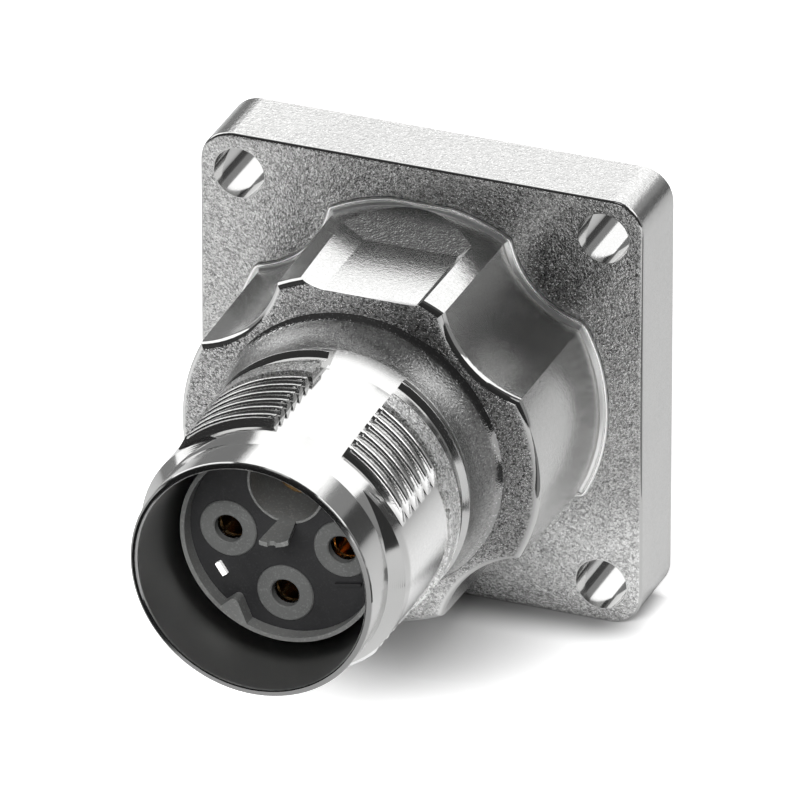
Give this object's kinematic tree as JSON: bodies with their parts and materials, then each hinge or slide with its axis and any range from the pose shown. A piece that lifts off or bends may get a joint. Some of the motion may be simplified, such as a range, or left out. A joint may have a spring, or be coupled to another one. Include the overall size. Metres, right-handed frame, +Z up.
{
  "type": "panel mount connector",
  "caption": "Square-flange panel mount circular power connector: nickel plated housing with interrupted coupling thread and female contacts in a recessed insert.",
  "frame": {"origin": "centre of the four screw holes on the flange's back face, the panel plane", "axes": "-Y along the barrel towards the mouth, +Z up, +X to the right seen from the mouth"},
  "size_m": [0.028, 0.0319, 0.028],
  "materials": {
    "nickel": "nickel plated casting, grainy satin where cast, bright where turned",
    "black_plastic": "moulded, fine matt",
    "grey_plastic": "moulded, fine matt",
    "white_plastic": "moulded",
    "gold": "turned, gold plated",
    "spring_steel": "bright stamped",
    "rubber": "matt"
  },
  "bodies": {
    "root": {"housing": "nickel", "insert_front": "black_plastic", "insert_rear": "black_plastic", "coding_ring": "grey_plastic", "earth_guard": "grey_plastic", "touch_ring_a": "grey_plastic", "touch_ring_b": "grey_plastic", "touch_ring_c": "grey_plastic", "coding_pin": "white_plastic", "contact_a": "gold", "contact_b": "gold", "contact_c": "gold", "earth_contact": "gold", "earth_hood": "gold", "contact_hood_a": "spring_steel", "contact_hood_b": "spring_steel", "contact_hood_c": "spring_steel", "earth_spring": "spring_steel", "retaining_ring": "spring_steel", "panel_seal": "rubber", "insert_seal": "rubber"}
  },
  "joints": []
}
